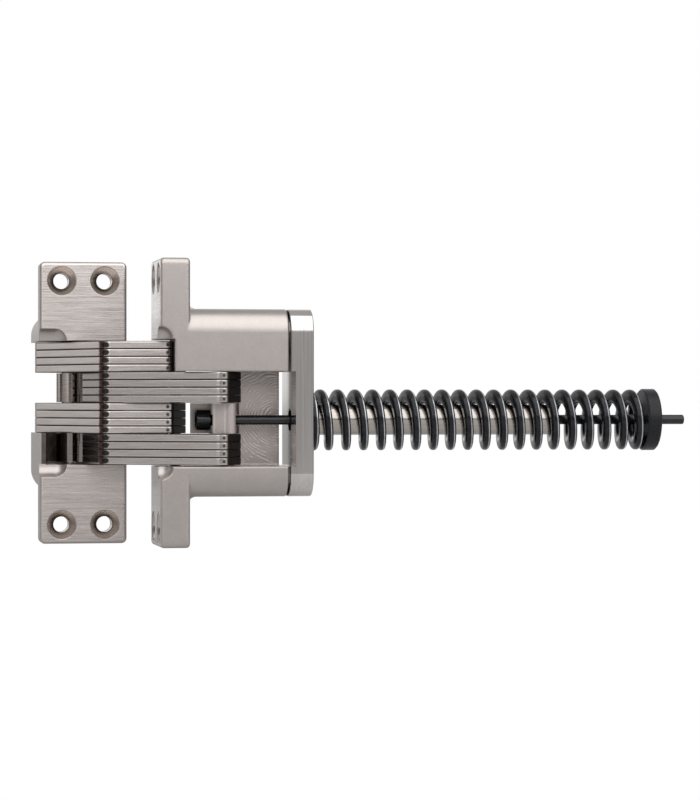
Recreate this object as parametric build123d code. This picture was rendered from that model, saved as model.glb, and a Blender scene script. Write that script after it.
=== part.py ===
from build123d import *
import os
from math import cos, degrees, radians, sin, tan

# Concealed closer hinge: two mortise leaves joined by two sets of crossing links, with a
# compression spring behind the door leaf that pulls the links shut.
# Millimetres. X runs to the right, Y away from the viewer and Z up along the pins.
# The origin is the centre of the jamb leaf's seat, the back of its flange. The hinge is drawn half open.

# Leaves
leaf_width = 36.3
leaf_length = 117.5
flange_depth = 12.0
flange_corner = 2.2
body_height = 76.6
body_depth = 52.5
body_corner = 9.4
root_radius = 3.5
face_round = 1.4
edge_break = 0.6
screw_inset_u = 9.15
screw_inset_z = 7.95
screw_hole_d = 6.6
screw_sink_d = 12.4
sink_angle = 82.0

# Pocket between the ears of a leaf
far_wall = 3.0
far_wall_start = 6.0
far_wall_margin = 0.12
knuckle_wall = 8.5
knuckle_wall_start = 33.0
rear_wall = 1.5
rear_wall_reach = 23.0
cove_radius = 5.0
cove_start = 30.1

# Link stack: rows of plates, the two sets taking turns from the top
link_thickness = 3.1
link_pitch = 3.175
plates_per_row = 4
row_count = 4
stack_clearance = 0.5
link_edge = 0.25

# Link joints in the frame of one closed leaf: u across the face from the knuckle edge,
# d into the body. A link pivots near the knuckle of one leaf and slides deep in the other.
pivot_u = 4.3
pivot_d = 9.7
cross_u = 26.4
slide_u = 18.4
slide_d = 44.8
face_gap = 2.0
slide_ratio = 0.48
full_opening = 180.0
rest_opening = 90.0

# Link outline
flat_inset = 1.8
knee_round = 5.0
cross_boss = 6.0
pivot_boss = 4.3
slide_boss = 5.6
deep_end_d = 51.0
deep_end_round = 4.5
shallow_end_u = 13.7
shallow_end_d = 17.0
shallow_end_round = 2.9
notch_clearance = 0.7

# Pins
pivot_pin_r = 2.4
cross_pin_r = 2.5
slide_pin_r = 2.7
sleeve_r = 6.1
sleeve_gap = 0.2
pin_seat = 7.0
slide_reach = 5.0
slot_clearance = 0.2
run_clearance = 0.05
seat_clearance = 0.02

# Closer: cap, guide tube, pull rod, crosshead and spring
cap_depth = 10.1
cap_gap = 0.6
cap_pad_inset = 3.5
cap_recess = 2.1
cap_edge = 0.3
cap_screw_r = 2.0
cap_screw_head_r = 4.0
cap_screw_length = 20.0
cap_screw_inset_u = 9.0
cap_screw_inset_z = 6.8
cap_screw_slot = 1.0
tube_outer_r = 6.25
tube_inner_r = 4.7
tube_seat = 5.0
tube_end = 168.0
rod_drop = 0.7
rod_r = 2.0
rod_end = 223.5
rod_head_r = 4.1
rod_head_length = 5.4
rod_socket = 3.2
eye_r = 5.0
eye_lip = 2.4
eye_flat = 4.6
eye_round = 2.4
crosshead_reach = 14.3
crosshead_back = 1.9
crosshead_gap = 0.12
crosshead_play = 0.25
collar_r = 12.9
collar_start = 205.0
collar_length = 5.8
spring_outer_r = 12.7
spring_wire_deep = 5.8
spring_wire_wide = 3.4
spring_wire_round = 0.9
spring_turns = 19.25

# Worked out from the sizes above
row_height = link_pitch * plates_per_row
stack_half = row_height * row_count / 2
pocket_half = stack_half + stack_clearance
cross_d = -face_gap / 2
flat_u = leaf_width - flat_inset
screw_spacing_u = leaf_width - 2 * screw_inset_u
screw_spacing_z = leaf_length - 2 * screw_inset_z
cap_end = body_depth + cap_depth
eye_floor = eye_r + eye_lip


def turned(point, centre, angle):
    """Point turned about a centre by an angle in radians, in the (u, d) plane."""
    du = point[0] - centre[0]
    dd = point[1] - centre[1]
    return (centre[0] + du * cos(angle) - dd * sin(angle), centre[1] + du * sin(angle) + dd * cos(angle))


def pivot_turn(opening):
    """Turn of a link about its pivot, in radians, at an opening angle in degrees."""
    return radians(opening) / (1 + slide_ratio)


def cross_at(opening):
    """Crossing pin in the leaf's frame: it circles the pivot."""
    return turned((cross_u, cross_d), (pivot_u, pivot_d), -pivot_turn(opening))


def slide_at(opening):
    """Sliding pin in the leaf's frame: it turns about the crossing pin at the slide ratio."""
    cross = cross_at(opening)
    moved = (cross[0] + slide_u - cross_u, cross[1] + slide_d - cross_d)
    return turned(moved, cross, -slide_ratio * pivot_turn(opening))


def pivot_in_link(opening):
    """Pivot of the leaf that a link slides in, seen from that link."""
    cross = cross_at(opening)
    moved = (cross_u + pivot_u - cross[0], cross_d + pivot_d - cross[1])
    return turned(moved, (cross_u, cross_d), slide_ratio * pivot_turn(opening))


openings = [full_opening * step / 60 for step in range(61)]
slide_path = [slide_at(opening) for opening in openings]
slide_u_low = min(point[0] for point in slide_path)
slide_u_high = max(point[0] for point in slide_path)
slide_d_low = min(point[1] for point in slide_path)
slide_d_high = max(point[1] for point in slide_path)
slide_play = (slide_u_high - slide_u_low) / 2
rod_u = (slide_u_high + slide_u_low) / 2
rod_z = -row_height / 2 - rod_drop
cross_rest = cross_at(rest_opening)
slide_rest = slide_at(rest_opening)
link_rest_turn = -slide_ratio * pivot_turn(rest_opening)

# The door leaf is the jamb leaf's mirror image in the plane through the crossing pin.
mirror_angle = -radians(rest_opening) / 2
mirror_reach = 2 * (cross_rest[0] * cos(mirror_angle) + cross_rest[1] * sin(mirror_angle))
door_corner_u = 2 * cross_rest[0] - mirror_reach * cos(mirror_angle)
door_corner_d = 2 * cross_rest[1] - mirror_reach * sin(mirror_angle)
door_corner = (leaf_width / 2 - door_corner_u, door_corner_d - flange_depth, 0)
door_place = Location(door_corner, (0, 0, rest_opening - 180))
link_place = Location((cross_rest[0], cross_rest[1], 0), (0, 0, degrees(link_rest_turn)))
link_place = link_place * Location((-cross_u, -cross_d, 0))


def on_jamb(shape):
    """Shape drawn in a leaf's frame, set on the jamb leaf."""
    return Location((leaf_width / 2, -flange_depth, 0)) * mirror(shape, about=Plane.YZ)


def on_door(shape):
    """Shape drawn in a leaf's frame, set on the door leaf."""
    return door_place * shape


def block(u, d, z):
    """Box between pairs of limits across the face, into the body and along the pins."""
    size = Box(u[1] - u[0], d[1] - d[0], z[1] - z[0])
    return Location(((u[0] + u[1]) / 2, (d[0] + d[1]) / 2, (z[0] + z[1]) / 2)) * size


def post(u, d, radius, low, high):
    """Round pin along Z."""
    return Location((u, d, (low + high) / 2)) * Cylinder(radius, high - low)


def bar(u, z, radius, start, end):
    """Round bar into the body, along d."""
    return Location((u, (start + end) / 2, z), (90, 0, 0)) * Cylinder(radius, end - start)


def slab(width, height, corner, start, end):
    """Plate with round corners that faces along d, centred on the leaf."""
    plane = Plane(origin=(leaf_width / 2, start, 0), x_dir=(1, 0, 0), z_dir=(0, 1, 0))
    return extrude(plane * RectangleRounded(width, height, corner), end - start)


def sunk_hole(u, z, start, end, radius, sink_r):
    """Through hole along d with a countersink at its start."""
    depth = (sink_r - radius) / tan(radians(sink_angle / 2))
    cone = Location((u, start + depth / 2, z), (90, 0, 0)) * Cone(radius, sink_r, depth)
    return bar(u, z, radius, start - 1, end + 1) + cone


def row_limits(row):
    """Lowest and highest Z of a row of plates, the first row on top."""
    high = stack_half - row * row_height
    return (high - row_height, high)


def disc(point, radius):
    """Round spot in the (u, d) plane."""
    return Location((point[0], point[1], 0)) * Circle(radius)


def wrapped(discs):
    """Outline that a tight band would take round some discs."""
    return make_hull([edge for spot in discs for edge in spot.edges()])


def link_plate():
    """One link plate of the closed hinge, in the frame of the leaf that it slides in, from Z 0 up."""
    knee_turn = mirror_angle - link_rest_turn
    knee_u = flat_u - knee_round
    knee = disc((knee_u, cross_d + (knee_u - cross_u) * tan(knee_turn)), knee_round)
    cross = disc((cross_u, cross_d), cross_boss)
    slide = (slide_u, slide_d)
    pivot = (pivot_u, -face_gap - pivot_d)
    deep_end = (flat_u - deep_end_round, deep_end_d - deep_end_round)
    shallow_end = (shallow_end_u, -face_gap - shallow_end_d)
    deep_arm = wrapped([knee, cross, disc(deep_end, deep_end_round), disc(slide, slide_boss)])
    shallow_arm = wrapped([knee, cross, disc(shallow_end, shallow_end_round), disc(pivot, pivot_boss)])
    passing = [pivot_in_link(full_opening * share) for share in (1.0, 0.75, 0.45)]
    notch = SlotArc(ThreePointArc(*passing), 2 * (pivot_pin_r + notch_clearance))
    outline = deep_arm + shallow_arm - notch
    outline -= disc((cross_u, cross_d), cross_pin_r + run_clearance)
    outline -= disc(pivot, pivot_pin_r + run_clearance)
    outline -= disc(slide, slide_pin_r + run_clearance)
    plate = extrude(outline, link_thickness)
    rims = plate.faces().sort_by(Axis.Z)[0].outer_wire().edges()
    rims += plate.faces().sort_by(Axis.Z)[-1].outer_wire().edges()
    return chamfer(rims, link_edge)


def plate_heights(row):
    """Lower faces of the plates in a row, from the top down."""
    low = row_limits(row)[0]
    spare = (link_pitch - link_thickness) / 2
    return [low + link_pitch * place + spare for place in reversed(range(plates_per_row))]


def leaf_blank():
    """Flange and body of a leaf before the pocket is cut."""
    flange = slab(leaf_width, leaf_length, flange_corner, 0, flange_depth)
    flange = fillet(flange.faces().filter_by(Axis.Y).edges(), face_round)
    body = slab(leaf_width, body_height, body_corner, flange_depth / 2, body_depth)
    body = chamfer(body.faces().sort_by(Axis.Y)[-1].edges(), edge_break)
    return flange + body


def leaf_root():
    """Cove between the flange's back and the flat top of the body, at both ends."""
    roots = Part()
    for side in (1, -1):
        z = side * body_height / 2
        corner = block(
            (body_corner, leaf_width - body_corner),
            (flange_depth, flange_depth + root_radius),
            (min(z, z + side * root_radius), max(z, z + side * root_radius)),
        )
        axis = Location((leaf_width / 2, flange_depth + root_radius, z + side * root_radius), (0, 90, 0))
        roots += corner - axis * Cylinder(root_radius, leaf_width)
    return roots


def leaf_casting(rear_closed):
    """Leaf with its far wall beside the top row of links; it is turned over for the other leaf."""
    wall_low = row_limits(0)[0] + far_wall_margin
    pocket_z = (-pocket_half, pocket_half)
    rear = body_depth - rear_wall if rear_closed else body_depth + 1
    casting = leaf_blank() + leaf_root()
    casting -= block((knuckle_wall, leaf_width - far_wall), (-1, rear), pocket_z)
    casting -= block((-1, knuckle_wall), (-1, knuckle_wall_start), pocket_z)
    casting -= block((rear_wall_reach, leaf_width + 1), (-1, body_depth + 1), (-pocket_half, wall_low))
    casting -= block((leaf_width - far_wall, leaf_width + 1), (-1, far_wall_start), pocket_z)
    for side in (1, -1):
        cove_z = side * pocket_half
        cove = Location(((cove_start + leaf_width + 1) / 2, 0, cove_z), (0, 90, 0))
        casting -= cove * Cylinder(cove_radius, leaf_width + 1 - cove_start)
        casting -= Location((cove_start, 0, cove_z)) * Sphere(cove_radius)
        for step_u in (-0.5, 0.5):
            hole_u = leaf_width / 2 + step_u * screw_spacing_u
            hole_z = side * screw_spacing_z / 2
            casting -= sunk_hole(hole_u, hole_z, 0, flange_depth, screw_hole_d / 2, screw_sink_d / 2)
        slot_z = sorted((side * (pocket_half - 1), side * (pocket_half + slide_reach + slot_clearance)))
        slot_r = slide_pin_r + slide_play + slot_clearance
        for end_d in (slide_d_low, slide_d_high):
            casting -= post(rod_u, end_d, slot_r, *slot_z)
        casting -= block((rod_u - slot_r, rod_u + slot_r), (slide_d_low, slide_d_high), slot_z)
    pin_hole_r = pivot_pin_r + seat_clearance
    casting -= post(pivot_u, pivot_d, pin_hole_r, -pocket_half - pin_seat, body_height / 2 + 1)
    return casting


def cap_screw_places():
    """Places of the end cap's screws as (u, z)."""
    across = (cap_screw_inset_u, leaf_width - cap_screw_inset_u)
    up = body_height / 2 - cap_screw_inset_z
    return [(u, z) for u in across for z in (up, -up)]


def cap_screw(u, z):
    """Flat-head screw driven from behind the cap, with a slot across its head."""
    head = (cap_screw_head_r - cap_screw_r) / tan(radians(sink_angle / 2))
    shank = bar(u, z, cap_screw_r, cap_end - cap_screw_length, cap_end)
    cone = Location((u, cap_end - head / 2, z), (90, 0, 0)) * Cone(cap_screw_head_r, cap_screw_r, head)
    slot_u = (u - cap_screw_head_r, u + cap_screw_head_r)
    slot_z = (z - cap_screw_slot / 2, z + cap_screw_slot / 2)
    return shank + cone - block(slot_u, (cap_end - head / 2, cap_end + 1), slot_z)


def end_cap():
    """Cap behind the door leaf: it carries the guide tube and the spring's first turn."""
    face = body_depth + cap_gap
    cap = slab(leaf_width, body_height, body_corner, face, cap_end)
    cap = chamfer(cap.faces().filter_by(Axis.Y).edges(), cap_edge)
    pad_corner = body_corner - cap_pad_inset
    pads = slab(leaf_width - 2 * cap_pad_inset, body_height - 2 * cap_pad_inset, pad_corner, body_depth, face)
    cap += pads - block((-1, leaf_width + 1), (body_depth - 1, face + 1), (-pocket_half, pocket_half))
    wall_low = row_limits(0)[0] + far_wall_margin
    cap -= block((-1, leaf_width + 1), (face - 1, face + cap_recess), (-pocket_half, wall_low))
    cap -= bar(rod_u, rod_z, tube_inner_r, body_depth - 1, cap_end + 1)
    cap -= bar(rod_u, rod_z, tube_outer_r + seat_clearance, cap_end - tube_seat, cap_end + 1)
    head_r = cap_screw_head_r + seat_clearance
    shank_r = cap_screw_r + seat_clearance
    depth = (cap_screw_head_r - cap_screw_r) / tan(radians(sink_angle / 2))
    for u, z in cap_screw_places():
        cap -= bar(u, z, shank_r, body_depth - 1, cap_end + 1)
        cap -= Location((u, cap_end - depth / 2, z), (90, 0, 0)) * Cone(head_r, shank_r, depth)
    return cap


def guide_tube():
    """Tube that keeps the spring straight round the pull rod."""
    tube = bar(rod_u, rod_z, tube_outer_r, cap_end - tube_seat, tube_end)
    tube = chamfer(tube.faces().sort_by(Axis.Y)[-1].edges(), edge_break)
    return tube - bar(rod_u, rod_z, tube_inner_r, cap_end - tube_seat - 1, tube_end + 1)


def pull_rod():
    """Rod with a round socket head; the head pulls the crosshead and the far end carries the collar."""
    seat = slide_rest[1] - eye_floor - run_clearance
    rod = bar(rod_u, rod_z, rod_r, seat - rod_head_length / 2, rod_end)
    rod = chamfer(rod.faces().sort_by(Axis.Y)[-1].edges(), edge_break / 2)
    head = bar(rod_u, rod_z, rod_head_r, seat - rod_head_length, seat)
    head = fillet(head.faces().sort_by(Axis.Y)[0].edges(), edge_break)
    socket = Plane(origin=(rod_u, seat - rod_head_length, rod_z), x_dir=(1, 0, 0), z_dir=(0, 1, 0))
    return rod + head - extrude(socket * RegularPolygon(rod_socket, 6, major_radius=False), rod_head_length / 2)


def crosshead():
    """Block between two rows of links with a trunnion above and below; the rod passes through its eye."""
    u, d = slide_rest
    low, high = row_limits(2)
    z = (low + crosshead_gap, high - crosshead_gap)
    back_u = rod_head_r + slide_play + crosshead_play
    round_u = u + eye_flat - eye_round
    round_d = d - eye_floor + eye_round
    body = post(u, d, eye_r, *z)
    body += post(round_u, round_d, eye_round, *z)
    body += block((u - back_u - crosshead_back, round_u), (d - eye_floor, d), z)
    body += block((round_u, u + eye_flat), (round_d, d), z)
    body += block((u - back_u - crosshead_back, u - back_u), (d - crosshead_reach, d), z)
    play_u = rod_r + slide_play + crosshead_play
    play_z = rod_r + crosshead_play
    body -= block((u - play_u, u + play_u), (d - eye_floor - 1, d + eye_r + 1), (rod_z - play_z, rod_z + play_z))
    reach = pocket_half + slide_reach
    body += post(u, d, slide_pin_r, high - crosshead_gap, reach)
    body += post(u, d, slide_pin_r, -reach, low + crosshead_gap)
    return body


def slide_sleeve(row):
    """Sleeve round the sliding pin in a row that its own links leave free."""
    u, d = slide_rest
    low, high = row_limits(row)
    sleeve = post(u, d, sleeve_r, low + sleeve_gap, high - sleeve_gap)
    return sleeve - post(u, d, slide_pin_r + seat_clearance, low, high)


def spring_collar():
    """Collar at the rod's end that the spring pushes on."""
    end = collar_start + collar_length
    collar = bar(rod_u, rod_z, collar_r, collar_start, end)
    collar = chamfer(collar.edges().filter_by(GeomType.CIRCLE), edge_break)
    return collar - bar(rod_u, rod_z, rod_r + seat_clearance, collar_start - 1, end + 1)


def closer_spring():
    """Right-handed compression spring of flat wire between the cap and the collar."""
    coil_r = spring_outer_r - spring_wire_deep / 2
    rise = collar_start - cap_end - spring_wire_wide
    path = Helix(rise / spring_turns, rise, coil_r)
    wire = RectangleRounded(spring_wire_deep, spring_wire_wide, spring_wire_round)
    section = Plane(origin=path @ 0, x_dir=(1, 0, 0), z_dir=path % 0) * wire
    coil = sweep(section, path=path, is_frenet=True)
    return Location((rod_u, cap_end + spring_wire_wide / 2, rod_z), (-90, 0, 0)) * coil


def pivot_pin():
    """Fixed pin that the shallow ends of a link set turn on."""
    return post(pivot_u, pivot_d, pivot_pin_r, -pocket_half - pin_seat, body_height / 2 - edge_break)


def turned_over(shape):
    """Shape set upside down in a leaf's frame."""
    return mirror(shape, about=Plane.XY)


nodes = {}
nodes["jamb_leaf_casting"] = on_jamb(turned_over(leaf_casting(True)))
nodes["jamb_pivot_pin"] = on_jamb(turned_over(pivot_pin()))
nodes["jamb_slide_pin"] = on_jamb(post(*slide_rest, slide_pin_r, -pocket_half - slide_reach, pocket_half + slide_reach))
nodes["jamb_upper_sleeve"] = on_jamb(slide_sleeve(1))
nodes["jamb_lower_sleeve"] = on_jamb(slide_sleeve(3))
nodes["center_pin"] = on_jamb(post(*cross_rest, cross_pin_r, -stack_half, stack_half))

screws = [cap_screw(u, z) for u, z in cap_screw_places()]
door_casting = leaf_casting(False)
for u, z in cap_screw_places():
    door_casting -= bar(u, z, cap_screw_r + seat_clearance, cap_end - cap_screw_length - 1, body_depth + 1)
nodes["door_leaf_casting"] = on_door(door_casting)
nodes["door_pivot_pin"] = on_door(pivot_pin())
nodes["end_cap"] = on_door(end_cap())
nodes["end_cap_screws"] = on_door(Compound(screws))
nodes["guide_tube"] = on_door(guide_tube())
nodes["pull_rod"] = on_door(pull_rod())
nodes["crosshead"] = on_door(crosshead())
nodes["door_sleeve"] = on_door(slide_sleeve(0))
nodes["spring_collar"] = on_door(spring_collar())
nodes["closer_spring"] = on_door(closer_spring())

plate = link_place * link_plate()
for row in range(row_count):
    for place, height in enumerate(plate_heights(row)):
        number = plates_per_row * (row // 2) + place + 1
        raised = Location((0, 0, height)) * plate
        if row % 2 == 0:
            nodes[f"link_a_{number}"] = on_jamb(raised)
        else:
            nodes[f"link_b_{number}"] = on_door(raised)

os.makedirs("parts", exist_ok=True)
for name, shape in nodes.items():
    export_step(shape, f"parts/{name}.step")
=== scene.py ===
from math import radians

import bpy
import numpy as np
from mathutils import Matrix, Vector


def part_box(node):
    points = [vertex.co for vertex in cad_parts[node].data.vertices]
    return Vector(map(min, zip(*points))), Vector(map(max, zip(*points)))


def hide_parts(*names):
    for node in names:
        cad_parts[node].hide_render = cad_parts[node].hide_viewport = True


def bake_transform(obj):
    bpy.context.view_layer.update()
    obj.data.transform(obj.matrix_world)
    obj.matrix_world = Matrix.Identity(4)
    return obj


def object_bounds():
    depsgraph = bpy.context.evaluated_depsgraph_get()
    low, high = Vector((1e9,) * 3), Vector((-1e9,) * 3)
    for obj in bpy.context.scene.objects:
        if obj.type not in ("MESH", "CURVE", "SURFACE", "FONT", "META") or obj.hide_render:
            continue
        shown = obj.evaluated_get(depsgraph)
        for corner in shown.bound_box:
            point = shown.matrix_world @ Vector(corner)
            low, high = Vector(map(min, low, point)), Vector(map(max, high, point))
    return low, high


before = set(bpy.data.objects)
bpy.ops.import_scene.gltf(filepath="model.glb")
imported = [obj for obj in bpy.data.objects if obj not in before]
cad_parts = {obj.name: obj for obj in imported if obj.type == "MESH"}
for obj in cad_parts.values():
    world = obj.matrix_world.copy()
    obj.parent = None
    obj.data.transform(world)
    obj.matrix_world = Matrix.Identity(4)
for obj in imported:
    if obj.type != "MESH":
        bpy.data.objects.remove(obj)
cad_low, cad_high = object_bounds()
mm = 0.001

# Places of the frame in metres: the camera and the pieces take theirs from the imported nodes
NODE = {name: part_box(name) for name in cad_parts}
LINKS = [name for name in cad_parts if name.startswith("link_")]
PLATE_PITCH = 3.175 * mm
KNEE_X = 7.0 * mm
FACE_Y = NODE["jamb_leaf_casting"][0][1]
FACE_X = NODE["door_leaf_casting"][0][0]
JAMB_BACK = NODE["jamb_leaf_casting"][1][1]
ROD_Y = (NODE["guide_tube"][0][1] + NODE["guide_tube"][1][1]) / 2
ROD_Z = (NODE["guide_tube"][0][2] + NODE["guide_tube"][1][2]) / 2
CAP_FACE = NODE["end_cap"][0][0] + 0.6 * mm
CAP_END = NODE["end_cap"][1][0]
COLLAR_FACE = NODE["spring_collar"][0][0]
JAMB_MIDDLE = 0.0
DOOR_MIDDLE = -39.225 * mm
HOLE_ASIDE, HOLE_HEIGHT = 9.0 * mm, 50.8 * mm
COUNTERSINK_REACH, COUNTERSINK_DEPTH = 5.6 * mm, 7.0 * mm
POCKET_HALF_HEIGHT, POCKET_HALF_WIDTH = 25.3 * mm, 16.9 * mm
MILLED_WALL = NODE["door_leaf_casting"][1][1] - 8.5 * mm
CUTTER_X = 78.0 * mm
# Each link set's painted light level, as lit and shaded copies of one steel, and how far short of the plates'
# ends their painted dark spots lie
LINK_SETS = (("link_a", 1.15, 9.1 * mm), ("link_b", 0.96, 9.0 * mm))

# Tones that more than one finish uses
# SEAM_SHADE: painted shade for the seam between the door leaf and the end cap
SEAM_SHADE = (0.03, 0.025, 0.022)
OXIDE, OXIDE_DARK, OXIDE_PALE = (0.016, 0.016, 0.019), (0.007, 0.007, 0.009), (0.018, 0.019, 0.022)

# The photo's camera: level, a little left of the jamb leaf and turned to the right
CAMERA_PLACE = (-106.4 * mm, FACE_Y - 1207.2 * mm, 1.15 * mm)
CAMERA_TURN, CAMERA_LENS = -10.3, 130.2

# Floor: its paint, and how much of its white glow the eye and the reflections see
FLOOR_HALF, FLOOR_DROP = 30.0, 0.5 * mm
FLOOR_PAINT, FLOOR_GLOW, FLOOR_SEEN, FLOOR_MIRRORED = 0.50, 1.06, 0.93, 0.21

# Studio round the hinge as (bearing in degrees from the front, level): pale panels and dark gaps
PANELS = ((-180, 1.00), (-156, 0.70), (-142, 0.26), (-130, 0.26), (-119, 0.80), (-106, 0.85), (-98, 0.10),
          (-80, 0.08), (-70, 0.46), (-50, 0.56), (-36, 0.88), (-24, 1.05), (-18, 0.22), (-4, 0.14), (6, 0.38),
          (20, 0.54), (48, 0.66), (66, 0.36), (82, 0.08), (112, 0.10), (135, 0.50), (158, 0.95), (180, 1.00))
CEILING_LEVEL, CEILING_LOW, CEILING_HIGH = 0.5, 0.25, 0.75

# Lamp in front and above: seen from its aim point, its face spans about 10 to 82 degrees above the horizon
LAMP_PLACE, LAMP_AIM = (0.10, -0.315, 0.367), (0.10, 0.03, 0.005)
LAMP_SIZE, LAMP_LEVEL = (1.15, 0.73), 1.38


class Finish:
    """One procedural material: a Principled surface and the nodes that feed it, on Object coordinates."""

    def __init__(self, name, colour, metallic, roughness):
        self.material = bpy.data.materials.new(name)
        self.material.use_nodes = True
        self.tree = self.material.node_tree
        self.surface = next(n for n in self.tree.nodes if n.type == "BSDF_PRINCIPLED")
        self.surface.inputs["Base Color"].default_value = (*colour, 1)
        self.surface.inputs["Metallic"].default_value = metallic
        self.surface.inputs["Roughness"].default_value = roughness
        self.place = self.tree.nodes.new("ShaderNodeTexCoord")

    def link(self, value, socket):
        """Joins an output to a socket, or sets the socket to a number, a vector or a colour."""
        if hasattr(value, "is_output"):
            self.tree.links.new(value, socket)
        else:
            socket.default_value = value

    def math(self, operation, first, second=0.0):
        """One Math node."""
        node = self.tree.nodes.new("ShaderNodeMath")
        node.operation = operation
        for socket, value in zip(node.inputs, (first, second)):
            self.link(value, socket)
        return node.outputs[0]

    def chain(self, operation, first, *others):
        """A row of Math nodes: the product, the sum or the largest of several values."""
        for other in others:
            first = self.math(operation, first, other)
        return first

    def square(self, value, centre, half):
        """((value - centre) / half) squared."""
        return self.math("POWER", self.math("DIVIDE", self.math("SUBTRACT", value, centre), half), 2.0)

    def reach(self, aside, above):
        """Length of the vector (aside, above)."""
        squares = self.math("ADD", self.math("POWER", aside, 2.0), self.math("POWER", above, 2.0))
        return self.math("SQRT", squares)

    def axes(self, source="Object"):
        """The three components of the object's own position or normal."""
        node = self.tree.nodes.new("ShaderNodeSeparateXYZ")
        self.link(self.place.outputs[source], node.inputs[0])
        return node.outputs

    def ramp(self, value, low, high, out_low=0.0, out_high=1.0):
        """Smooth step of a value from low to high."""
        node = self.tree.nodes.new("ShaderNodeMapRange")
        node.interpolation_type = "SMOOTHSTEP"
        for socket, number in zip(node.inputs, (value, low, high, out_low, out_high)):
            self.link(number, socket)
        return node.outputs[0]

    def near(self, value, centre, half, soft):
        """1 where a value lies within half of centre, falling to 0 over soft."""
        away = self.math("ABSOLUTE", self.math("SUBTRACT", value, centre))
        return self.ramp(away, half, half + soft, 1.0, 0.0)

    def grain(self, size, detail=2.0, rough=0.5):
        """Noise whose cells measure size = (x, y, z) in metres."""
        turn = self.tree.nodes.new("ShaderNodeMapping")
        self.link(self.place.outputs["Object"], turn.inputs["Vector"])
        turn.inputs["Scale"].default_value = tuple(1 / s for s in size)
        node = self.tree.nodes.new("ShaderNodeTexNoise")
        self.link(turn.outputs[0], node.inputs["Vector"])
        node.inputs["Scale"].default_value = 1.0
        node.inputs["Detail"].default_value = detail
        node.inputs["Roughness"].default_value = rough
        return node.outputs["Fac"]

    def tint(self, share, first, second):
        """Colour mixed from first to second by a share."""
        node = self.tree.nodes.new("ShaderNodeMix")
        node.data_type = "RGBA"
        self.link(share, node.inputs["Factor"])
        for socket, value in zip((node.inputs[6], node.inputs[7]), (first, second)):
            self.link(value if hasattr(value, "is_output") else (*value, 1), socket)
        return node.outputs[2]

    def blend(self, share, first, second):
        """Number mixed from first to second by a share."""
        node = self.tree.nodes.new("ShaderNodeMix")
        node.data_type = "FLOAT"
        self.link(share, node.inputs["Factor"])
        self.link(first, node.inputs[2])
        self.link(second, node.inputs[3])
        return node.outputs[0]

    def bump(self, height, depth, below=None):
        """Bump of a height field that is depth metres deep, on top of another normal."""
        node = self.tree.nodes.new("ShaderNodeBump")
        node.inputs["Strength"].default_value = 1.0
        node.inputs["Distance"].default_value = depth
        self.link(height, node.inputs["Height"])
        if below is not None:
            self.link(below, node.inputs["Normal"])
        return node.outputs[0]

    def edge(self, radius):
        """Normal whose sharp edges are rounded by a small radius, as tumbling leaves them."""
        node = self.tree.nodes.new("ShaderNodeBevel")
        node.samples = 4
        node.inputs["Radius"].default_value = radius
        return node.outputs[0]

    def wear(self, colour, roughness, normal):
        """Feeds the surface."""
        for name, value in (("Base Color", colour), ("Roughness", roughness), ("Normal", normal)):
            self.link(value, self.surface.inputs[name])
        return self.material


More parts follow.
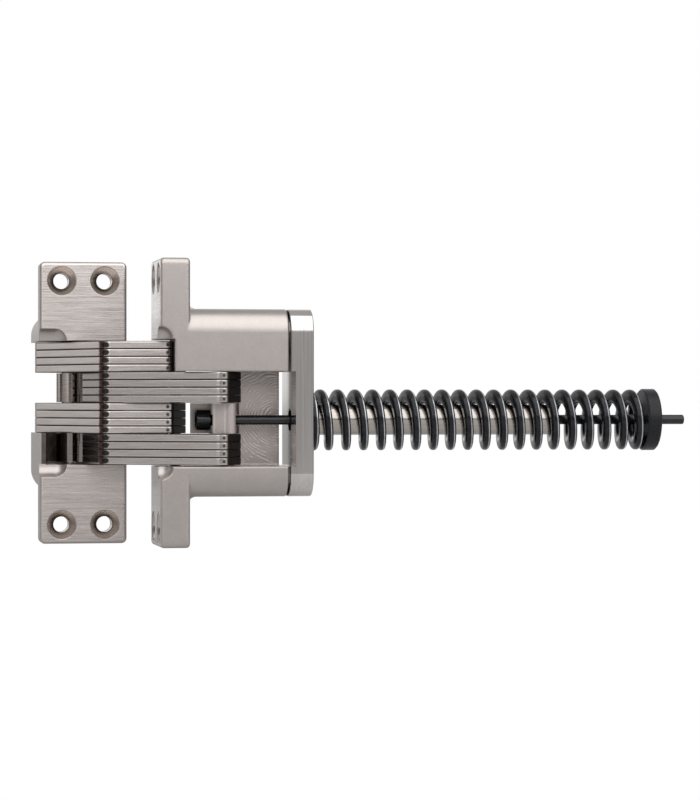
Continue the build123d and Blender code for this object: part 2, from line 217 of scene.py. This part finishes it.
def leaf_finish(name, face_axis, face_at, middle, brushing, shine):
    """Satin nickel casting: blasted grain all over, a machined face on the plane face_at of face_axis that is
    brushed across the leaf, and turned countersinks in it, whose rings run round the screw holes either side
    of middle."""
    look = Finish(name, (0.60, 0.535, 0.505), 1.0, 0.42)
    normal = look.axes("Normal")
    place = look.axes()
    level = look.near(place[face_axis], face_at, 0.25 * mm, 0.4 * mm)
    facing = look.ramp(look.math("MULTIPLY", normal[face_axis], -1.0), 0.85, 0.97)
    face = look.math("MULTIPLY", level, facing)

    across = look.math("ABSOLUTE", look.math("SUBTRACT", place[1 - face_axis], middle))
    aside = look.math("SUBTRACT", across, HOLE_ASIDE)
    above = look.math("SUBTRACT", look.math("ABSOLUTE", place[2]), HOLE_HEIGHT)
    reach = look.reach(aside, above)
    round_hole = look.ramp(reach, COUNTERSINK_REACH, COUNTERSINK_REACH + 0.4 * mm, 1.0, 0.0)
    sunk_end = face_at + COUNTERSINK_DEPTH
    in_front = look.ramp(place[face_axis], sunk_end, sunk_end + 2 * mm, 1.0, 0.0)
    sunk = look.chain("MULTIPLY", round_hole, look.math("SUBTRACT", 1.0, facing), in_front)

    fine = look.grain((0.5 * mm,) * 3, 3.0, 0.65)
    cloud = look.grain((5 * mm,) * 3, 3.0, 0.55)
    streak = look.grain((18 * mm, 18 * mm, 0.22 * mm), 3.0, 0.6)
    broad = look.grain((30 * mm, 30 * mm, 0.9 * mm), 3.0, 0.6)
    rings = look.math("SINE", look.math("MULTIPLY", reach, 2 * np.pi / (0.4 * mm)))

    cast = look.tint(look.ramp(fine, 0.3, 0.7), (0.49, 0.446, 0.422), (0.55, 0.502, 0.477))
    cast = look.tint(look.ramp(cloud, 0.35, 0.7, 0.0, 0.3), cast, (0.455, 0.42, 0.404))
    brushed = look.tint(look.ramp(streak, 0.36, 0.64), (0.585, 0.527, 0.50), (0.73, 0.665, 0.64))
    brushed = look.tint(look.ramp(broad, 0.50, 0.66, 0.0, 0.6), brushed, (0.76, 0.70, 0.68))
    brushed = look.tint(look.ramp(broad, 0.30, 0.42, 0.35, 0.0), brushed, (0.42, 0.37, 0.345))
    brushed = look.tint(brushing, (0.74, 0.725, 0.73), brushed)
    colour = look.tint(sunk, look.tint(face, cast, brushed), (0.58, 0.52, 0.48))

    cast_rough = look.ramp(fine, 0.2, 0.8, 0.32, 0.43)
    rough = look.blend(face, cast_rough, look.ramp(streak, 0.3, 0.7, shine, shine + 0.1))
    rough = look.blend(sunk, rough, look.ramp(rings, -1.0, 1.0, 0.10, 0.18))
    cast_height = look.math("MULTIPLY", fine, 0.8)
    height = look.blend(face, cast_height, look.math("MULTIPLY", streak, 1.6 * brushing))
    height = look.blend(sunk, height, look.math("MULTIPLY", rings, 0.12))
    return look, colour, rough, height, place


def jamb_leaf_finish():
    """The jamb leaf: strongly brushed, with painted shade in patches deep in the pocket that the links swing
    into.
    """
    look, colour, rough, height, place = leaf_finish("satin_nickel_jamb", 1, FACE_Y, JAMB_MIDDLE, 1.0, 0.24)
    # Painted shade: the pocket is darkened in patches, from a little behind the face to near the back
    pocket_shade_grain = look.grain((3 * mm, 3 * mm, 6 * mm), 3.0, 0.6)
    deep = look.ramp(place[1], FACE_Y + 2 * mm, FACE_Y + 7 * mm)
    within = look.near(place[2], 0.0, POCKET_HALF_HEIGHT, 0.5 * mm)
    inward = look.near(place[0], JAMB_MIDDLE, POCKET_HALF_WIDTH, 0.3 * mm)
    ahead = look.ramp(place[1], JAMB_BACK - 1.3 * mm, JAMB_BACK - 1.0 * mm, 1.0, 0.0)
    patchy_shade = look.ramp(pocket_shade_grain, 0.2, 0.6, 0.7, 0.95)
    painted_shade = look.chain("MULTIPLY", deep, within, inward, ahead, patchy_shade)
    colour = look.tint(painted_shade, colour, (0.060, 0.045, 0.037))
    return look.wear(colour, rough, look.bump(height, 0.03 * mm, look.edge(0.4 * mm)))


def door_leaf_finish():
    """The door leaf: a smooth face, a pocket whose knuckle wall shows uneven arcs that the cutter left
    round the rod, and painted shade on its end in the seam against the end cap."""
    look, colour, rough, height, place = leaf_finish("satin_nickel_door", 0, FACE_X, DOOR_MIDDLE, 0.22, 0.15)
    inside = look.near(place[1], MILLED_WALL, 0.15 * mm, 0.25 * mm)
    sway = look.grain((9 * mm, 9 * mm, 6 * mm), 1.0, 0.5)
    aside = look.math("SUBTRACT", place[0], CUTTER_X)
    above = look.math("SUBTRACT", place[2], ROD_Z)
    passes = look.math("DIVIDE", look.reach(aside, above), 1.25 * mm)
    turns = look.math("ADD", passes, look.math("MULTIPLY", sway, 3.2))
    arcs = look.math("SINE", look.math("MULTIPLY", turns, 2 * np.pi))
    patch = look.ramp(look.grain((3.5 * mm, 3.5 * mm, 2.2 * mm), 3.0, 0.6), 0.42, 0.62)
    scratch = look.grain((5 * mm, 5 * mm, 0.3 * mm), 3.0, 0.65)
    swirl = look.blend(patch, look.math("MULTIPLY", scratch, 0.6), look.ramp(arcs, -1.0, 1.0))
    milled = look.tint(swirl, (0.45, 0.398, 0.377), (0.72, 0.652, 0.625))
    colour = look.tint(inside, colour, milled)
    height = look.blend(inside, height, look.math("MULTIPLY", swirl, 1.5))
    rough = look.blend(inside, rough, look.ramp(swirl, 0.0, 1.0, 0.30, 0.44))
    # Painted shade on the end that meets the end cap, in the seam
    last = look.ramp(place[0], CAP_FACE - 1.2 * mm, CAP_FACE - 0.8 * mm)
    seam_shade = look.math("MULTIPLY", last, look.ramp(look.axes("Normal")[0], 0.6, 0.8))
    colour = look.tint(seam_shade, colour, SEAM_SHADE)
    return look.wear(colour, rough, look.bump(height, 0.03 * mm, look.edge(1.2 * mm)))


def cap_finish():
    """The end cap: machined and nearly polished, with fine marks along its height, and painted shade in the
    seam.
    """
    look = Finish("machined_nickel", (0.52, 0.49, 0.47), 1.0, 0.14)
    marks = look.grain((0.4 * mm, 0.9 * mm, 40 * mm), 3.0, 0.6)
    broad = look.grain((2.2 * mm, 3 * mm, 80 * mm), 2.0, 0.5)
    colour = look.tint(look.ramp(marks, 0.3, 0.7), (0.59, 0.563, 0.547), (0.69, 0.657, 0.64))
    colour = look.tint(look.ramp(broad, 0.4, 0.65, 0.0, 0.4), colour, (0.53, 0.50, 0.485))
    # Painted shade on the face that meets the door leaf, in the seam
    first = look.near(look.axes()[0], CAP_FACE, 0.1 * mm, 0.1 * mm)
    seam_shade = look.math("MULTIPLY", first, look.ramp(look.axes("Normal")[0], -0.8, -0.6, 1.0, 0.0))
    colour = look.tint(seam_shade, colour, SEAM_SHADE)
    return look.wear(colour, look.ramp(marks, 0.2, 0.8, 0.11, 0.17), look.bump(marks, 0.003 * mm))


def link_finish(name, painted_light_level, end_spot_at):
    """Stamped link plate: satin edges drawn along the plate and rounded towards the seams between plates,
    which carry painted shade; at the bend a painted dark reflection, a brown band with a black spot in each
    plate; painted shade on the ends; and a painted dark spot in each plate's front at x = end_spot_at. The
    two sets are lit and shaded copies of one steel, each with its own painted light level."""
    # Painted light: each set's tones are scaled by its own light level
    steel, drawn_dark, drawn_pale, smear_pale = (
        tuple(painted_light_level * share for share in tone)
        for tone in ((0.58, 0.53, 0.505), (0.52, 0.47, 0.445), (0.62, 0.57, 0.545), (0.68, 0.63, 0.605)))
    look = Finish(name, steel, 1.0, 0.24)
    place, normal = look.axes(), look.axes("Normal")
    drawn = look.grain((9 * mm, 9 * mm, 0.22 * mm), 3.0, 0.6)
    smear = look.grain((14 * mm, 14 * mm, 0.9 * mm), 2.0, 0.5)
    mark_jitter = look.grain((0.9 * mm, 0.9 * mm, 0.8 * mm), 3.0, 0.7)

    # away runs from 0 in a seam to a half in the middle of a plate
    step = look.math("DIVIDE", place[2], PLATE_PITCH)
    away = look.math("ABSOLUTE", look.math("SUBTRACT", step, look.math("ROUND", step)))
    seam = look.ramp(away, 0.04, 0.13, 1.0, 0.0)
    colour = look.tint(look.ramp(drawn, 0.3, 0.7), drawn_dark, drawn_pale)
    colour = look.tint(look.ramp(smear, 0.4, 0.68, 0.0, 0.45), colour, smear_pale)
    # Painted shade in the seams between plates
    colour = look.tint(look.math("MULTIPLY", seam, 0.93), colour, (0.05, 0.04, 0.034))

    # Painted dark reflection at the bend: a ragged brown band and a black spot in each plate
    ragged = look.math("ADD", place[0], look.math("MULTIPLY", mark_jitter, 1.5 * mm))
    knee_shade_band = look.math("MULTIPLY", look.near(ragged, KNEE_X - 0.5 * mm, 0.6 * mm, 0.5 * mm), 0.95)
    colour = look.tint(knee_shade_band, colour, (0.070, 0.031, 0.018))
    knee_shade_spot = look.chain("ADD", look.square(ragged, KNEE_X + 0.9 * mm, 1.5 * mm), look.square(away, 0.5, 0.40),
                      look.math("MULTIPLY", mark_jitter, 0.8))
    knee_shade_spot = look.ramp(knee_shade_spot, 1.0, 1.5, 1.0, 0.0)
    # Painted dark spot in each plate's front where it starts to round off towards its end
    end_shade_spot = look.chain("ADD", look.square(place[0], end_spot_at, 0.75 * mm), look.square(away, 0.5, 0.24), mark_jitter)
    front = look.ramp(normal[1], -0.6, -0.3, 0.9, 0.0)
    end_shade_spot = look.math("MULTIPLY", look.ramp(end_shade_spot, 1.0, 1.6, 1.0, 0.0), front)
    # Painted shade on the plate ends that face +x
    ends = look.ramp(normal[0], 0.40, 0.56)
    painted_shade = look.chain("MAXIMUM", knee_shade_spot, ends, end_shade_spot)
    colour = look.tint(look.math("MULTIPLY", painted_shade, 0.96), colour, (0.022, 0.019, 0.017))

    # Roughness is raised under the painted marks and in the seams
    painted_marks = look.chain("MAXIMUM", painted_shade, knee_shade_band, seam)
    rough = look.blend(painted_marks, look.ramp(drawn, 0.2, 0.8, 0.18, 0.28), 0.55)
    rounded = look.math("MULTIPLY", look.ramp(away, 0.02, 0.22), 3.0)
    height = look.math("ADD", rounded, look.math("MULTIPLY", drawn, 0.25))
    return look.wear(colour, rough, look.bump(height, 0.02 * mm))


def pin_finish():
    """Ground steel of the pins and sleeves: oiled and polished, with faint turning marks round the axis."""
    look = Finish("ground_pin_steel", (0.43, 0.38, 0.35), 1.0, 0.07)
    marks = look.grain((4 * mm, 4 * mm, 0.3 * mm), 2.0, 0.5)
    colour = look.tint(look.ramp(marks, 0.3, 0.7), (0.38, 0.33, 0.305), (0.49, 0.43, 0.40))
    return look.wear(colour, look.ramp(marks, 0.2, 0.8, 0.05, 0.10), look.bump(marks, 0.001 * mm))


def crosshead_finish():
    """Crosshead: the castings' satin nickel, a little finer."""
    look = Finish("satin_nickel_crosshead", (0.58, 0.52, 0.49), 1.0, 0.33)
    fine = look.grain((0.4 * mm,) * 3, 3.0, 0.6)
    colour = look.tint(look.ramp(fine, 0.3, 0.7), (0.54, 0.48, 0.455), (0.63, 0.57, 0.54))
    return look.wear(colour, look.ramp(fine, 0.2, 0.8, 0.27, 0.40), look.bump(fine, 0.02 * mm))


def tube_finish():
    """Guide tube: bright drawn tube with faint drawing lines along it."""
    look = Finish("bright_drawn_tube", (0.66, 0.61, 0.56), 1.0, 0.14)
    lines = look.grain((60 * mm, 0.35 * mm, 0.35 * mm), 2.0, 0.5)
    colour = look.tint(look.ramp(lines, 0.3, 0.7), (0.44, 0.405, 0.373), (0.515, 0.474, 0.437))
    return look.wear(colour, look.ramp(lines, 0.2, 0.8, 0.10, 0.19), look.bump(lines, 0.004 * mm))


def black_skin(name, gloss, grain, oil):
    """Black oxide with an oily shine: the finish, its cloudy grain and its colour."""
    look = Finish(name, OXIDE, 0.0, gloss)
    look.surface.inputs["Specular IOR Level"].default_value = oil
    fine = look.grain(grain, 3.0, 0.6)
    return look, fine, look.tint(look.ramp(fine, 0.35, 0.75), OXIDE_DARK, OXIDE_PALE)


def black_finish(name, gloss, dull, grain, relief, oil=0.5):
    """Black oxide of the rod, the screws and the collar, whose roughness runs from gloss to dull."""
    look, fine, black = black_skin(name, gloss, grain, oil)
    return look.wear(black, look.ramp(fine, 0.2, 0.8, gloss, dull), look.bump(fine, relief))


def spring_finish():
    """Black oxide wire with a painted highlight: the side that faces the collar is pale bare steel all along
    the coil.
    """
    look, fine, black = black_skin("black_oxide_spring", 0.14, (2.5 * mm,) * 3, 0.3)
    # Painted highlight: the side of the wire that faces +x is made pale and metallic
    lean = look.axes("Normal")[0]
    glint_side = look.math("MULTIPLY", look.ramp(lean, 0.12, 0.26), look.ramp(lean, 0.42, 0.60, 1.0, 0.0))
    painted_glint = look.math("MULTIPLY", glint_side, look.ramp(fine, 0.25, 0.55, 0.55, 0.95))
    look.link(painted_glint, look.surface.inputs["Metallic"])
    colour = look.tint(painted_glint, black, (0.58, 0.60, 0.64))
    return look.wear(colour, look.ramp(fine, 0.2, 0.8, 0.10, 0.19), look.bump(fine, 0.002 * mm))


def dress(material, *names):
    """Gives CAD nodes a material."""
    for name in names:
        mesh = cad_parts[name].data
        mesh.materials.clear()
        mesh.materials.append(material)


def grid_piece(name, points, material):
    """Closed tube of points[step, round, xyz]: quads between the rings and a fan over each end."""
    steps, around = points.shape[:2]
    ring = np.arange(around)
    after = np.roll(ring, -1)
    row = np.arange(steps - 1)[:, None] * around
    quads = np.stack([row + ring, row + after, row + around + after, row + around + ring], -1)
    ends = np.stack([points[0].mean(0), points[-1].mean(0)])
    vertices = np.concatenate([points.reshape(-1, 3), ends])
    first, last = steps * around, steps * around + 1
    start = np.stack([np.full(around, first), after, ring], -1)
    tail = (steps - 1) * around
    finish = np.stack([np.full(around, last), tail + ring, tail + after], -1)
    mesh = bpy.data.meshes.new(name)
    mesh.from_pydata(vertices.tolist(), [], quads.reshape(-1, 4).tolist() + start.tolist() + finish.tolist())
    mesh.polygons.foreach_set("use_smooth", np.full(len(mesh.polygons), True))
    mesh.materials.append(material)
    piece = bpy.data.objects.new(name, mesh)
    bpy.context.scene.collection.objects.link(piece)
    return piece


def coil_spring(material):
    """Flat wire with rounded corners carried along a helix round the rod whose turns close up at both ends.
    With turn t, the angle is 2 pi t + start_angle, and the advance is the running sum of a pitch that grows
    from closed_pitch at the ends to the free pitch 1, scaled so that the coil fills the room between the cap
    and the collar. The wire's section is a squared-off ellipse: its depth follows the power 0.6 of a cosine
    and its width the power 0.8 of a sine. The ends are ground: no point passes the cap's face or the
    collar's face."""
    turns, per_turn, around = 19.75, 44, 32
    deep, wide, outer = 2.9 * mm, 1.7 * mm, 12.68 * mm
    closing_turns, closed_pitch, start_angle, clear = 1.25, 0.46, radians(126), 0.02 * mm
    deep_power, wide_power = 0.6, 0.8
    steps = int(turns * per_turn) + 1
    t = np.linspace(0, turns, steps)
    edge = np.clip(np.minimum(t, turns - t) / closing_turns, 0, 1)
    pitch = closed_pitch + (1 - closed_pitch) * edge * edge * (3 - 2 * edge)
    advance = np.concatenate([[0], np.cumsum((pitch[1:] + pitch[:-1]) / 2)])
    low, high = CAP_END + 0.6 * wide, COLLAR_FACE - 0.6 * wide
    x = low + (high - low) * advance / advance[-1]
    angle = 2 * np.pi * t + start_angle
    radius = outer - deep
    out = np.stack([np.zeros(steps), np.cos(angle), np.sin(angle)], -1)
    path = np.stack([x, ROD_Y + radius * out[:, 1], ROD_Z + radius * out[:, 2]], -1)
    along = np.gradient(path, axis=0)
    along /= np.linalg.norm(along, axis=1, keepdims=True)
    side = np.cross(along, out)
    turn = 2 * np.pi * np.arange(around) / around
    flat_deep = deep * np.sign(np.cos(turn)) * np.abs(np.cos(turn)) ** deep_power
    flat_wide = wide * np.sign(np.sin(turn)) * np.abs(np.sin(turn)) ** wide_power
    section = flat_deep[None, :, None] * out[:, None] + flat_wide[None, :, None] * side[:, None]
    points = path[:, None] + section
    points[..., 0] = np.clip(points[..., 0], CAP_END + clear, COLLAR_FACE - clear)
    spring = grid_piece("closer_spring_coil", points, material)
    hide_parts("closer_spring")
    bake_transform(spring)


def maker(tree):
    """Empties a node tree and returns the function that adds a node with settings to it."""
    tree.nodes.clear()

    def made(kind, **settings):
        node = tree.nodes.new(kind)
        for key, value in settings.items():
            setattr(node, key, value)
        return node

    return made


def studio_floor():
    """Pale floor under the hinge: white to the eye, dimmer in reflections, and it keeps a soft shadow."""
    height = cad_low[2] - FLOOR_DROP
    mesh = bpy.data.meshes.new("floor")
    corners = [(x, y, height) for x, y in FLOOR_HALF * np.array([(-1, -1), (1, -1), (1, 1), (-1, 1)])]
    mesh.from_pydata(corners, [], [(0, 1, 2, 3)])
    material = bpy.data.materials.new("pale_floor")
    material.use_nodes = True
    tree = material.node_tree
    made = maker(tree)
    output = made("ShaderNodeOutputMaterial")
    mix = made("ShaderNodeMixShader")
    paint = made("ShaderNodeBsdfDiffuse")
    paint.inputs["Color"].default_value = (FLOOR_PAINT, FLOOR_PAINT, FLOOR_PAINT, 1)
    glow = made("ShaderNodeEmission")
    glow.inputs["Color"].default_value = (1, 1, 1, 1)
    glow.inputs["Strength"].default_value = FLOOR_GLOW
    rays = made("ShaderNodeLightPath")
    mirrored = made("ShaderNodeMath", operation="MULTIPLY_ADD")
    mirrored.inputs[1].default_value = FLOOR_MIRRORED
    tree.links.new(rays.outputs["Is Glossy Ray"], mirrored.inputs[0])
    tree.links.new(rays.outputs["Is Transmission Ray"], mirrored.inputs[2])
    seen = made("ShaderNodeMath", operation="ADD", use_clamp=True)
    tree.links.new(rays.outputs["Is Camera Ray"], seen.inputs[0])
    tree.links.new(mirrored.outputs[0], seen.inputs[1])
    share = made("ShaderNodeMath", operation="MULTIPLY")
    share.inputs[1].default_value = FLOOR_SEEN
    tree.links.new(seen.outputs[0], share.inputs[0])
    tree.links.new(share.outputs[0], mix.inputs[0])
    tree.links.new(paint.outputs[0], mix.inputs[1])
    tree.links.new(glow.outputs[0], mix.inputs[2])
    tree.links.new(mix.outputs[0], output.inputs[0])
    mesh.materials.append(material)
    floor = bpy.data.objects.new("floor", mesh)
    bpy.context.scene.collection.objects.link(floor)


def studio_sky():
    """White to the camera. For light and reflections: panels and gaps round the horizon that fade to an even
    ceiling."""
    world = bpy.data.worlds.new("studio")
    bpy.context.scene.world = world
    world.use_nodes = True
    tree = world.node_tree
    made = maker(tree)
    output = made("ShaderNodeOutputWorld")
    room = made("ShaderNodeBackground")
    white = made("ShaderNodeBackground")
    white.inputs["Color"].default_value = (1, 1, 1, 1)
    rays = made("ShaderNodeLightPath")
    seen = made("ShaderNodeMath", operation="MAXIMUM")
    tree.links.new(rays.outputs["Is Camera Ray"], seen.inputs[0])
    tree.links.new(rays.outputs["Is Transmission Ray"], seen.inputs[1])
    split = made("ShaderNodeSeparateXYZ")
    tree.links.new(made("ShaderNodeTexCoord").outputs["Generated"], split.inputs[0])
    front = made("ShaderNodeMath", operation="MULTIPLY")
    front.inputs[1].default_value = -1.0
    tree.links.new(split.outputs[1], front.inputs[0])
    bearing = made("ShaderNodeMath", operation="ARCTAN2")
    tree.links.new(split.outputs[0], bearing.inputs[0])
    tree.links.new(front.outputs[0], bearing.inputs[1])
    share = made("ShaderNodeMath", operation="MULTIPLY_ADD")
    share.inputs[1].default_value = 0.5 / np.pi
    share.inputs[2].default_value = 0.5
    tree.links.new(bearing.outputs[0], share.inputs[0])
    walls = made("ShaderNodeValToRGB")
    stops = walls.color_ramp.elements
    while len(stops) < len(PANELS):
        stops.new(0.5)
    for stop, (angle, level) in zip(stops, PANELS):
        stop.position = angle / 360 + 0.5
        stop.color = (level, level, level, 1)
    tree.links.new(share.outputs[0], walls.inputs[0])
    lift = made("ShaderNodeMapRange", interpolation_type="SMOOTHSTEP")
    for socket, number in zip(lift.inputs[1:], (CEILING_LOW, CEILING_HIGH, 0.0, 1.0)):
        socket.default_value = number
    tree.links.new(split.outputs[2], lift.inputs[0])
    tone = made("ShaderNodeMix", data_type="RGBA")
    tone.inputs[7].default_value = (CEILING_LEVEL, CEILING_LEVEL, CEILING_LEVEL, 1)
    tree.links.new(lift.outputs[0], tone.inputs[0])
    tree.links.new(walls.outputs[0], tone.inputs[6])
    tree.links.new(tone.outputs[2], room.inputs["Color"])
    mix = made("ShaderNodeMixShader")
    tree.links.new(seen.outputs[0], mix.inputs[0])
    tree.links.new(room.outputs[0], mix.inputs[1])
    tree.links.new(white.outputs[0], mix.inputs[2])
    tree.links.new(mix.outputs[0], output.inputs[0])


def softbox(name, place, aim, size, level):
    """Area lamp at a place, turned to an aim point, whose face shows the given level."""
    lamp = bpy.data.lights.new(name, "AREA")
    lamp.shape = "RECTANGLE"
    lamp.size, lamp.size_y = size
    lamp.energy = level * np.pi * size[0] * size[1]
    box = bpy.data.objects.new(name, lamp)
    bpy.context.scene.collection.objects.link(box)
    box.location = place
    box.visible_camera = False
    box.rotation_euler = (Vector(aim) - Vector(place)).to_track_quat("-Z", "Y").to_euler()


def camera():
    """Level camera at the photo's angle."""
    data = bpy.data.cameras.new("photo_camera")
    data.sensor_width = 36.0
    data.lens = CAMERA_LENS
    data.clip_start, data.clip_end = 0.05, 100.0
    eye = bpy.data.objects.new("photo_camera", data)
    bpy.context.scene.collection.objects.link(eye)
    eye.location = CAMERA_PLACE
    eye.rotation_euler = (radians(90), 0, radians(CAMERA_TURN))
    bpy.context.scene.camera = eye


camera()
bpy.context.scene.view_settings.view_transform = "Standard"
studio_sky()
studio_floor()
softbox("overhead_panel", LAMP_PLACE, LAMP_AIM, LAMP_SIZE, LAMP_LEVEL)

dress(jamb_leaf_finish(), "jamb_leaf_casting")
dress(door_leaf_finish(), "door_leaf_casting")
dress(cap_finish(), "end_cap")
for link_set, painted_light_level, short in LINK_SETS:
    plates = [name for name in LINKS if name.startswith(link_set)]
    dress(link_finish(f"{link_set}_plate_steel", painted_light_level, NODE[plates[0]][1][0] - short), *plates)
dress(pin_finish(), "jamb_pivot_pin", "door_pivot_pin", "center_pin", "jamb_slide_pin", "jamb_upper_sleeve",
      "jamb_lower_sleeve", "door_sleeve")
dress(crosshead_finish(), "crosshead")
dress(tube_finish(), "guide_tube")
dress(black_finish("black_oxide_rod", 0.14, 0.24, (3 * mm, 0.5 * mm, 0.5 * mm), 0.006 * mm), "pull_rod",
      "end_cap_screws")
dress(black_finish("black_oxide_collar", 0.28, 0.42, (0.6 * mm,) * 3, 0.008 * mm, 0.28), "spring_collar")
coil_spring(spring_finish())
